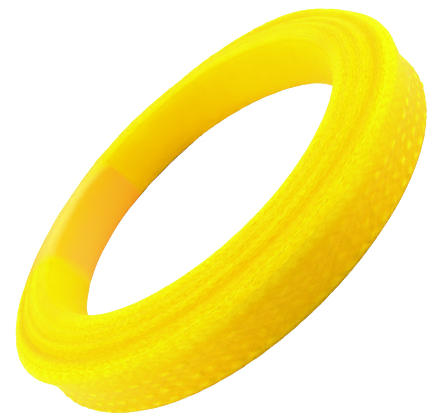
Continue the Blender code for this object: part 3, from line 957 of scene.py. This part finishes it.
def sleeve_height(s, angle):
    """A smooth wrap: it bridges the ribs, has a hem at its first end and lies flush at the other."""
    stands = SKIN.at(SKIN.relief, s)[:, None]
    bridged = -BRIDGED_UP * np.minimum(stands, 0) - BRIDGED_DOWN * np.maximum(stands, 0)
    from_first = ((angle - SLEEVE_FROM) * OUTER_RADIUS)[None, :]
    from_last = ((SLEEVE_TO - angle) * OUTER_RADIUS)[None, :]
    hem = ramp(from_first, 0.0, HEM_LENGTH) * ramp(from_last, 0.0, FLUSH_HEM_LENGTH)
    fitted = ramp(from_first, 0.0, HEM_LENGTH) * ramp(from_last, 0.0, FLUSH_LENGTH)
    pucker = np.cos(s / SKIN.length * TURN * PUCKERS)[:, None] * np.exp(-(from_first / PUCKER_LENGTH) ** 2)
    wrapped = HEM_HEIGHT * hem - FIT_DEPTH * fitted + bridged * fitted
    return wrapped + PUCKER_HEIGHT * pucker + SLACK * COARSE(s, angle) + bridge(s, angle)


def sleeve_light_and_tone(s, angle):
    """Painted light on the satin: orange on the upright inner wall, deeper low down and towards the sleeve's
    last end, golden over the rim and a pale painted reflection on top.
    """
    tone = SLEEVE_LIGHT_AND_TONE
    rise = SKIN.at(SKIN.z, s)[:, None] / SKIN.z.max()
    base = tone["first"] - (tone["first"] - tone["last"]) * ramp(angle, SLEEVE_FROM, SLEEVE_TO)[None, :]
    return base + (tone["upright"] - base) * ramp(rise, 0.25, 0.80) + tone["top"] * ramp(rise, 0.80, 0.97)


def sleeve_dye(s, angle):
    """1 over most of the sleeve, fading to 0 at its ends, where its colour runs into the cover's."""
    ragged = 2.0 * MM * COARSE(s, angle)
    high = ramp(SKIN.at(SKIN.z, s)[:, None] / SKIN.z.max(), 0.75, 1.0)
    from_first = (angle - SLEEVE_FROM)[None, :] * OUTER_RADIUS
    from_last = (SLEEVE_TO - angle)[None, :] * OUTER_RADIUS
    first = ramp(from_first / (3 * MM + 29 * MM * high), 0.0, 1.0)
    return first * ramp(from_last + ragged, 1 * MM, 15 * MM)


def build_sleeve():
    """The sleeve's cloth is a tube: an outer and an inner face, each closed round the section."""
    s = np.arange(SLEEVE_ROWS) / SLEEVE_ROWS * SKIN.length
    ends = SLEEVE_END_GAP / OUTER_RADIUS
    angle = np.linspace(SLEEVE_FROM + ends, SLEEVE_TO - ends, SLEEVE_COLUMNS)
    inner_angle = angle[::-SLEEVE_INNER_STEP].copy()
    inner_angle[-1] = angle[0]
    inner_shape = (SLEEVE_ROWS, len(inner_angle))
    outside = SKIN.place(s, angle, grounded(s, sleeve_height(s, angle)))
    inside = SKIN.place(s, inner_angle, np.full(inner_shape, -CLOTH))
    points = np.concatenate([outside, inside], axis=1).reshape(-1, 3)
    faces = loop_faces(SLEEVE_ROWS, len(angle) + len(inner_angle), True)
    light = np.concatenate([sleeve_light_and_tone(s, angle), np.zeros(inner_shape)], axis=1)
    dye = np.concatenate([sleeve_dye(s, angle), np.ones(inner_shape)], axis=1)
    place = flat_place(s, np.r_[angle, inner_angle])
    obj = make_object("joint_sleeve_cloth", points.tolist(), faces, SATIN,
                      {"light_and_tone": light.ravel(), "cloth": place, "dye": dye.ravel()})
    finish_piece(obj, "sleeve_satin", "joint_sleeve")


# ---------------------------------------------------------------- threads
def thread(seam, path, closed, material):
    """A seam's thread: two plies twisted together along a path, as one figure-of-eight section that turns."""
    count = len(path)
    if closed:
        ahead = np.roll(path, -1, axis=0) - np.roll(path, 1, axis=0)
    else:
        ahead = np.gradient(path, axis=0)
    ahead /= np.linalg.norm(ahead, axis=1)[:, None]
    side = np.cross(ahead, np.array([0.0, 0.0, 1.0]))
    weak = np.linalg.norm(side, axis=1) < NEARLY_UPRIGHT
    side[weak] = np.cross(ahead[weak], np.array([1.0, 0.0, 0.0]))
    side /= np.linalg.norm(side, axis=1)[:, None]
    up = np.cross(side, ahead)
    step = np.linalg.norm(np.diff(path, axis=0), axis=1).mean()
    turns = count * step / THREAD_TWIST
    turns = max(1, round(turns)) if closed else turns
    twist = np.arange(count) / count * turns * TURN
    around = np.arange(THREAD_SIDES) / THREAD_SIDES * TURN
    radius = THREAD_RADIUS * (THREAD_WAIST + THREAD_PLIES * np.abs(np.cos(around)))
    theta = around[:, None] + twist[None, :]
    points = (path[None] + (radius[:, None] * np.cos(theta))[..., None] * side[None]
              + (radius[:, None] * np.sin(theta))[..., None] * up[None])
    # Painted highlights on the crests of the plies and painted shade between them.
    light_and_tone = np.broadcast_to(np.abs(np.cos(around))[:, None], (THREAD_SIDES, count)).ravel()
    place = np.zeros((THREAD_SIDES, count, 3))
    place[..., 0] = np.arange(count)[None, :] * step / MM
    place[..., 1] = around[:, None]
    faces = loop_faces(THREAD_SIDES, count, closed)
    obj = make_object(seam + "_thread", points.reshape(-1, 3).tolist(), faces, material,
                      {"light_and_tone": light_and_tone, "cloth": place.reshape(-1, 3)})
    finish_piece(obj, "thread", seam)


def build_seams():
    """Running stitches: the thread rises over the cloth's edge and dips back between stitches."""
    ends = THREAD_END_GAP / OUTER_RADIUS
    span = SLEEVE_FROM + TURN - SLEEVE_TO - 2 * ends
    count = round(span * OUTER_RADIUS / THREAD_STEP)
    angle = np.linspace(SLEEVE_TO + ends, SLEEVE_FROM + TURN - ends, count)
    rise = THREAD_RISE * np.cos(angle * STITCH_COUNT * 2)[None, :]
    for name, place in SEAMS.items():
        s = np.array([place])
        depth = THREAD_DEPTH[name] + rise + bridge(s, angle)
        depth = np.minimum(depth, headroom(s)[:, None] - THREAD_RADIUS)
        path = SKIN.place(s, angle, depth)[0]
        # The outer top seam's thread takes the paler copy, a painted highlight.
        thread(name, path, False, HIGHLIGHT_THREAD if name == "outer_top_seam" else THREAD)


def build_sleeve_seams():
    """A thread laid round the whole section in the gap at each end of the sleeve."""
    count = round(SKIN.length / THREAD_STEP)
    s = np.arange(count) / count * SKIN.length
    laid = (SLEEVE_THREAD_DEPTH + SLEEVE_THREAD_RISE * np.cos(s / SKIN.length * TURN * PUCKERS))[:, None]
    for name, place in (("sleeve_seam_a", SLEEVE_FROM), ("sleeve_seam_b", SLEEVE_TO)):
        angle = np.array([place])
        depth = np.minimum(laid + bridge(s, angle), headroom(s)[:, None] - THREAD_RADIUS)
        thread(name, SKIN.place(s, angle, depth)[:, 0], True, THREAD)


def repaint_nodes():
    """Gives its material to every CAD node that stays: what lies inside the cover."""
    finishes = {"foam_upper": FOAM, "foam_lower": FOAM, "rib_cord_inner": CORD, "rib_cord_middle": CORD,
                "rib_cord_outer": CORD, "core_hoop": HOOP, "hoop_joiner": JOINER,
                "joiner_pin_a": PIN, "joiner_pin_b": PIN}
    for name, material in finishes.items():
        NODES[name].data.materials.clear()
        NODES[name].data.materials.append(material)


build_panels()
build_sleeve()
build_seams()
build_sleeve_seams()
repaint_nodes()


# ---------------------------------------------------------------- stage
def build_floor():
    """A pale floor that reads as pure white to the camera and is clear from below."""
    mat = new_material("pale_floor")
    ray = node(mat, "ShaderNodeLightPath").outputs["Is Camera Ray"]
    back = node(mat, "ShaderNodeNewGeometry").outputs["Backfacing"]
    glow = node(mat, "ShaderNodeEmission", {"Color": (1, 1, 1, 1), "Strength": BACKGROUND}).outputs[0]
    matt = node(mat, "ShaderNodeBsdfDiffuse", {"Color": (0.8, 0.8, 0.8, 1)}).outputs[0]
    clear = node(mat, "ShaderNodeBsdfTransparent").outputs[0]
    top = node(mat, "ShaderNodeMixShader", {0: ray, 1: matt, 2: glow}).outputs[0]
    both = node(mat, "ShaderNodeMixShader", {0: back, 1: top, 2: clear}).outputs[0]
    node(mat, "ShaderNodeOutputMaterial", {"Surface": both})
    height = CAD_BOX[0][2] - FLOOR_DROP
    corners = [(x * FLOOR_HALF, y * FLOOR_HALF, height) for x, y in ((-1, -1), (1, -1), (1, 1), (-1, 1))]
    mesh = bpy.data.meshes.new("floor")
    mesh.from_pydata(corners, [], [(0, 1, 2, 3)])
    mesh.materials.append(mat)
    floor = bpy.data.objects.new("floor", mesh)
    bpy.context.scene.collection.objects.link(floor)


def build_world():
    """Faint even light all round, seen by the camera as the same white as the floor."""
    world = bpy.data.worlds.new("studio")
    world.use_nodes = True
    tree = world.node_tree
    tree.nodes.clear()
    ray = tree.nodes.new("ShaderNodeLightPath")
    near = tree.nodes.new("ShaderNodeBackground")
    near.inputs["Strength"].default_value = STUDIO_LIGHT
    seen = tree.nodes.new("ShaderNodeBackground")
    seen.inputs["Color"].default_value = (1, 1, 1, 1)
    seen.inputs["Strength"].default_value = BACKGROUND
    mix = tree.nodes.new("ShaderNodeMixShader")
    out = tree.nodes.new("ShaderNodeOutputWorld")
    tree.links.new(ray.outputs["Is Camera Ray"], mix.inputs[0])
    tree.links.new(near.outputs[0], mix.inputs[1])
    tree.links.new(seen.outputs[0], mix.inputs[2])
    tree.links.new(mix.outputs[0], out.inputs[0])
    bpy.context.scene.world = world


def soft_light(name, place, size, power):
    """A square area light that faces the ring."""
    data = bpy.data.lights.new(name, "AREA")
    data.size = size
    data.energy = power
    light = bpy.data.objects.new(name, data)
    light.location = place
    light.rotation_euler = (-Vector(place)).to_track_quat("-Z", "Y").to_euler()
    bpy.context.scene.collection.objects.link(light)


def build_camera():
    """The camera at the photograph's angle, aimed near the ring's centre."""
    data = bpy.data.cameras.new("camera")
    data.lens = LENS
    camera = bpy.data.objects.new("camera", data)
    back = Vector((0, -math.cos(ELEVATION), math.sin(ELEVATION)))
    place = back * DISTANCE
    level = (AIM - place).to_track_quat("-Z", "Y")
    camera.rotation_mode = "QUATERNION"
    camera.rotation_quaternion = level @ Quaternion((0, 0, 1), -ROLL)
    camera.location = place
    bpy.context.scene.collection.objects.link(camera)
    bpy.context.scene.camera = camera


def set_film():
    """Plain colour handling, with the red of bright yellows held a little below full, as a camera would."""
    settings = bpy.context.scene.view_settings
    settings.view_transform = "Standard"
    settings.use_curve_mapping = True
    mapping = settings.curve_mapping
    mapping.extend = "HORIZONTAL"
    mapping.clip_max_x = BACKGROUND
    points = mapping.curves[0].points
    points[0].location = (0.0, 0.0)
    points[1].location = (BACKGROUND, 1.0)
    for level in RED_CURVE:
        points.new(*level)
    mapping.update()


build_floor()
build_world()
for light in LIGHTS:
    soft_light(*light)
build_camera()
set_film()
